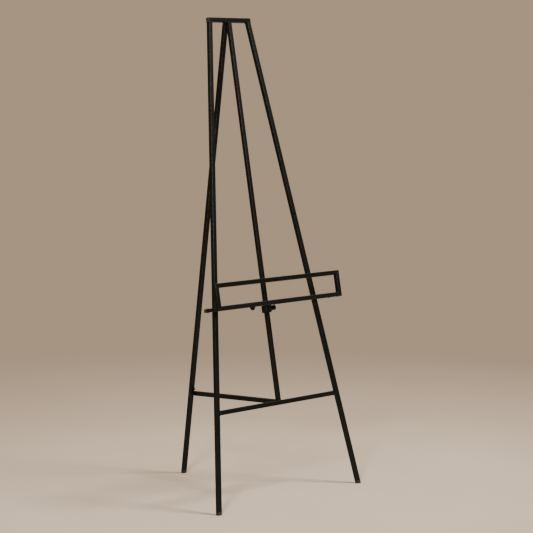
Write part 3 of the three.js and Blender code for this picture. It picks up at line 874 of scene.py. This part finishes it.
def build_ledge():
    body = "ledge"
    for node in ("lip_bottom_bar", "lip_right_bar", "lip_top_bar", "lip_left_bar"):
        ground_seam(fine_tube(node, OUT, body), node, body)
    fine_tube("back_bar", OUT, body)
    for node in ("left_arm", "centre_arm", "right_arm"):
        arm = fine_tube(node, RISE, body)
        for end, label in ((0, "back"), (1, "front")):
            weld(f"{node}_{label}_weld", arm.ring(end, grow=0.15 * MM), ARM_BEAD, body)
    end_plug("back_bar_left_plug", -RIGHT, OUT, 0.6 * MM, body)
    end_plug("back_bar_right_plug", RIGHT, OUT, 0.6 * MM, body)
    refine("collar", COAT, body, width=0.3 * MM)
    refine("collar_liner", NYLON, body, width=0.3 * MM)
    refine("collar_plate", COAT, body, width=0.5 * MM)
    plate_welds(body)
    lip_lug(body)
    clamp_nut(body)


def plate_welds(body):
    """Beads that join the plate to the collar and to the back bar."""
    points = node_points("collar_plate")
    rises, outs = points @ np.array(RISE), points @ np.array(OUT)
    half = np.abs(points[:, 0]).max()
    low, high = rises.min(), rises.max()
    back, front = outs.min() + 0.1 * MM, outs.max() + 0.3 * MM
    for label, side in (("left", -1), ("right", 1)):
        u = side * (half + 0.3 * MM)
        path = [on_frame(u, low + 1.5 * MM, back), on_frame(u, high - 1.0 * MM, back)]
        weld(f"collar_plate_{label}_weld", path, PLATE_BEAD, body, closed=False, flat=OUT)
    path = [on_frame(u, high, front) for u in (-half + 1 * MM, half - 1 * MM)]
    weld("collar_plate_top_weld", path, PLATE_BEAD, body, closed=False, flat=RISE)


def lip_lug(body):
    """The small lug under the lip, with a bead along its front and back."""
    refine("lip_lug", COAT, body, width=0.45 * MM)
    points = node_points("lip_lug")
    rises, outs = points @ np.array(RISE), points @ np.array(OUT)
    top = rises.max()
    head = points[rises > top - 0.2 * MM]
    left, right = head[:, 0].min() + 1.2 * MM, head[:, 0].max() - 1.2 * MM
    for label, out in (("front", outs.max() + 0.25 * MM), ("back", outs.min() - 0.25 * MM)):
        path = [on_frame(u, top + 0.1 * MM, out) for u in (left, right)]
        weld(f"lip_lug_{label}_weld", path, SMALL_BEAD, body, closed=False, flat=RISE)


def clamp_nut(body):
    """The hexagon welded on the collar's side for the clamp screw."""
    low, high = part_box("clamp_nut")
    base = sideways_axis("clamp_nut")
    flats = 10 * MM
    wide = 5.6 * MM
    bore = 3.1 * MM
    profile = [
        (bore, low.x), (wide, low.x, flats), (wide, high.x - 0.6 * MM, flats), (4.9 * MM, high.x),
        (bore + 0.5 * MM, high.x), (bore, high.x - 0.5 * MM)]
    turned("clamp_nut", profile, base, STEEL, body, start=RISE, bored=True)
    seat = base + RIGHT * (low.x - 0.1 * MM)
    ring = []
    for angle in turn_angles(48):
        reach = hexagon_reach(angle, flats) + 0.3 * MM
        ring.append(seat + (RISE * math.cos(angle) - OUT * math.sin(angle)) * reach)
    weld("clamp_nut_weld", ring, SMALL_BEAD, body)


# ---- Clamp screw ----

# Rows of the lever's arm, in mm: height above the screw's axis, half thickness, half width.
LEVER_ARM_ROWS = (
    (-9.4, 0.5, 0.5), (-9.1, 1.4, 1.5), (-8.2, 2.1, 2.3), (-6.2, 2.4, 3.0), (0.0, 2.4, 3.6),
    (6.0, 2.4, 3.2), (9.0, 2.25, 2.6), (14.0, 2.15, 2.25), (19.0, 2.15, 2.25), (22.0, 2.35, 2.5),
    (24.0, 2.4, 2.6), (25.2, 1.8, 1.9), (25.8, 1.1, 1.1), (26.0, 0.4, 0.4))


def build_clamp():
    body = "clamp_screw"
    base = sideways_axis("clamp_stud")
    low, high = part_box("clamp_lever")
    hub = hub_profile(low.x, high.x, (high.y - low.y) / 2)
    turned("clamp_lever", hub, base, COAT_ROUND, body, 56, sharp=45, name="clamp_lever_hub")
    lever_arm(base + RIGHT * (high.x - 2.5 * MM), body)
    low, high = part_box("clamp_stud")
    turned("clamp_stud", stud_profile(low.x, high.x), base, STEEL, body, 36, sharp=30)
    low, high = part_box("clamp_pad")
    outer = (high.y - low.y) / 2
    pad = [
        (CENTRE, low.x), (outer - 0.5 * MM, low.x), (outer - 0.1 * MM, low.x + 0.35 * MM),
        (outer, high.x - 0.3 * MM), (outer - 0.3 * MM, high.x), (CENTRE, high.x)]
    turned("clamp_pad", pad, base, NYLON, body, 36, sharp=40)


def hub_profile(seat, face, rim):
    """The lever's hub: a collar at its seat, a groove, and a barrel that rounds over at its face."""
    bore = PIN_RADIUS + 0.25 * MM
    return [
        (bore, seat + 2 * MM), (bore, seat + 0.2 * MM), (PIN_RADIUS + 0.6 * MM, seat),
        (rim - 1.2 * MM, seat), (rim - 0.7 * MM, seat + 0.4 * MM), (rim - 0.6 * MM, seat + 2.2 * MM),
        (rim - 1.0 * MM, seat + 2.8 * MM), (rim - 1.0 * MM, seat + 3.6 * MM),
        (rim - 0.2 * MM, seat + 4.2 * MM), (rim, seat + 5.0 * MM), (rim, face - 5.0 * MM),
        (rim - 0.15 * MM, face - 3.8 * MM), (rim - 0.9 * MM, face - 2.3 * MM),
        (rim - 2.4 * MM, face - 1.2 * MM), (3.4 * MM, face - 0.5 * MM), (1.4 * MM, face - 0.2 * MM),
        (CENTRE, face - 0.1 * MM)]


def lever_arm(root, body):
    """The arm crosses the hub's end, thins a little above it and ends in a small round grip."""
    rings = [
        circle(root + RISE * height * MM, RIGHT * thick * MM, OUT * wide * MM, 20)
        for height, thick, wide in LEVER_ARM_ROWS]
    make_piece("clamp_lever_arm", rings, COAT_ROUND, body, sharp=60)


def stud_profile(low, high):
    """A rod threaded over its whole length."""
    profile = [(CENTRE, low), (2.3 * MM, low), (2.6 * MM, low + 0.5 * MM)]
    x = low + 0.7 * MM
    while x < high - 0.6 * MM:
        profile += [(PIN_RADIUS, x + 0.25 * MM), (PIN_RADIUS - 0.45 * MM, x + 0.75 * MM)]
        x += SCREW_PITCH
    return profile + [(PIN_RADIUS - 0.3 * MM, high), (CENTRE, high)]


# ---- Stage, light and camera ----

BACKDROP = (0.45, 0.33, 0.22, 1)
FLOOR_DEEP, FLOOR_PALE = (0.58, 0.495, 0.415), (0.62, 0.535, 0.455)
FLOOR_RADIUS = 45
FADE_FROM, FADE_TO = 0.9, 3.2     # distances in metres over which the floor becomes the backdrop

CAMERA_PLACE = Vector((-4.4679, -4.7585, 1.5179))    # metres
CAMERA_HEADING = 0.77117          # radians from +Y towards +X
CAMERA_DIP = 0.10836              # radians below the horizon
LENS = 122.38                     # focal length and sensor width in mm
SENSOR = 36.0

LIT_POINT = Vector((0, 0, 0.75))  # where the lights aim: the middle of the easel


def build_stage():
    """A pale floor that fades into the plain backdrop colour with distance."""
    bpy.ops.mesh.primitive_circle_add(vertices=96, radius=FLOOR_RADIUS, fill_type="NGON")
    floor = bpy.context.object
    floor.name = "floor"
    nodes = Nodes("pale_floor")
    shader = nodes.shader
    colour = nodes.mix(nodes.wander(1.3, 4), FLOOR_DEEP, FLOOR_PALE)
    nodes.link(colour, shader.inputs["Base Color"])
    shader.inputs["Roughness"].default_value = 0.75
    glow = nodes.add("ShaderNodeEmission")
    glow.inputs["Color"].default_value = BACKDROP
    distance = nodes.add("ShaderNodeVectorMath", operation="LENGTH")
    nodes.link(nodes.place(), distance.inputs[0])
    blend = nodes.add("ShaderNodeMixShader")
    nodes.link(nodes.ramp(distance.outputs["Value"], FADE_FROM, FADE_TO), blend.inputs["Fac"])
    nodes.link(shader.outputs["BSDF"], blend.inputs[1])
    nodes.link(glow.outputs["Emission"], blend.inputs[2])
    output = nodes.tree.nodes["Material Output"]
    nodes.link(blend.outputs["Shader"], output.inputs["Surface"])
    floor.data.materials.append(nodes.material)

    world = bpy.data.worlds.new("studio")
    bpy.context.scene.world = world
    world.use_nodes = True
    background = world.node_tree.nodes["Background"]
    background.inputs["Color"].default_value = BACKDROP
    background.inputs["Strength"].default_value = 1.0


def camera_axes():
    """The camera's forward direction, and the level direction to its right."""
    forward = Vector((
        math.sin(CAMERA_HEADING) * math.cos(CAMERA_DIP),
        math.cos(CAMERA_HEADING) * math.cos(CAMERA_DIP),
        -math.sin(CAMERA_DIP)))
    right = Vector((math.cos(CAMERA_HEADING), -math.sin(CAMERA_HEADING), 0))
    return forward, right


def build_camera():
    forward, _ = camera_axes()
    data = bpy.data.cameras.new("camera")
    data.lens = LENS
    data.sensor_width = SENSOR
    data.clip_start = 0.1
    data.clip_end = 100
    camera = bpy.data.objects.new("camera", data)
    bpy.context.scene.collection.objects.link(camera)
    camera.location = CAMERA_PLACE
    camera.rotation_mode = "QUATERNION"
    camera.rotation_quaternion = forward.to_track_quat("-Z", "Y")
    bpy.context.scene.camera = camera


def area_light(name, place, size, power, colour):
    """A round soft light that aims at the middle of the easel."""
    data = bpy.data.lights.new(name, "AREA")
    data.shape = "DISK"
    data.size = size
    data.energy = power
    data.color = colour
    light = bpy.data.objects.new(name, data)
    bpy.context.scene.collection.objects.link(light)
    light.location = place
    light.rotation_mode = "QUATERNION"
    light.rotation_quaternion = (LIT_POINT - place).to_track_quat("-Z", "Y")


def build_lights():
    """A large warm key high on the camera's right, and a smaller fill above the camera."""
    forward, right = camera_axes()
    level = Vector((forward.x, forward.y, 0)).normalized()
    key = LIT_POINT + right * 4.2 - level * 0.9 + UP * 5.8
    area_light("key", key, size=1.9, power=600, colour=(1.0, 0.93, 0.84))
    fill = LIT_POINT - right * 0.9 - level * 5.2 + UP * 2.6
    area_light("fill", fill, size=1.0, power=250, colour=(1.0, 0.98, 0.95))


build_front_frame()
build_rear_leg()
build_stay()
build_ledge()
build_clamp()
build_stage()
build_camera()
build_lights()
